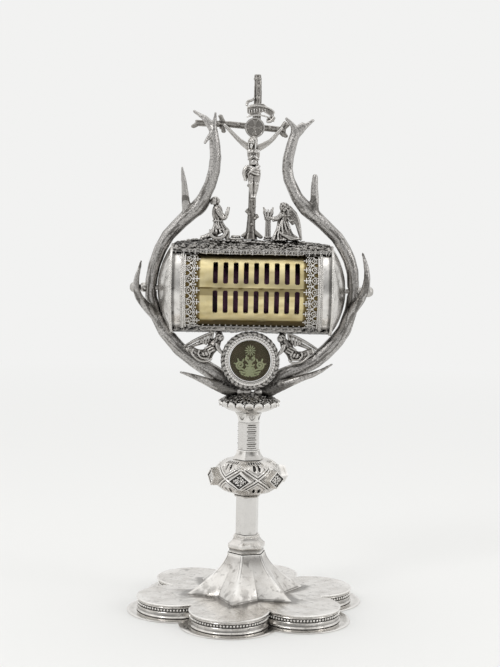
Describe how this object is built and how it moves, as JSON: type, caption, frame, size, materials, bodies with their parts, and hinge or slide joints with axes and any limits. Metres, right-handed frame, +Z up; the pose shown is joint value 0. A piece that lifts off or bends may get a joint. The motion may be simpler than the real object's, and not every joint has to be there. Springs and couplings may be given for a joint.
{
  "type": "reliquary monstrance",
  "caption": "Silver reliquary monstrance: six-lobed foot, stem with lozenge-boss knop, and two antlers that clasp a gilt relic barrel under a crucifixion, with a round crystal below.",
  "frame": {"origin": "on the standing surface, under the stem's axis, in the middle of the foot", "axes": "+Z up along the stem, -Y to the front with the medallion, +X along the relic barrel to the viewer's right"},
  "size_m": [0.183, 0.1806, 0.4003],
  "materials": {
    "bright_silver": "hand-raised and polished silver with a soft shine, grimy in the joints",
    "antler_silver": "cast silver with a grey-brown patina and a fine lengthwise grain",
    "dark_silver": "cast silver, oxidised near black in the hollows and rubbed bright on the edges",
    "gilt": "pale satin gilding",
    "relic_cloth": "dark purple silk wrapping",
    "crystal": "clear polished crystal",
    "plaque": "dark olive painted ground with pale green ornament"
  },
  "bodies": {
    "root": {"foot_flange": "bright_silver", "foot_wall": "bright_silver", "foot_top": "bright_silver", "stem_collar": "bright_silver", "stem_lower": "bright_silver", "knop_skirt_lower": "bright_silver", "knop": "bright_silver", "knop_skirt_upper": "bright_silver", "stem_upper": "bright_silver", "capital": "bright_silver", "calyx": "bright_silver", "mound": "dark_silver", "antler_left": "antler_silver", "antler_right": "antler_silver", "reliquary_tube": "gilt", "relic_bundle": "relic_cloth", "end_cap_left": "bright_silver", "end_cap_right": "bright_silver", "filigree_collar_left": "bright_silver", "filigree_collar_right": "bright_silver", "screw_knob_left": "antler_silver", "screw_knob_right": "antler_silver", "ground": "dark_silver", "bar": "dark_silver", "medallion_wreath": "dark_silver", "medallion_bezel": "bright_silver", "medallion_crystal": "crystal", "medallion_plaque": "plaque", "angel_left": "dark_silver", "angel_right": "dark_silver", "cross": "dark_silver", "nimbus": "dark_silver", "scroll": "dark_silver", "corpus": "dark_silver", "kneeling_saint": "dark_silver", "kneeling_angel": "dark_silver", "hat": "dark_silver", "pillar": "dark_silver"}
  },
  "joints": []
}
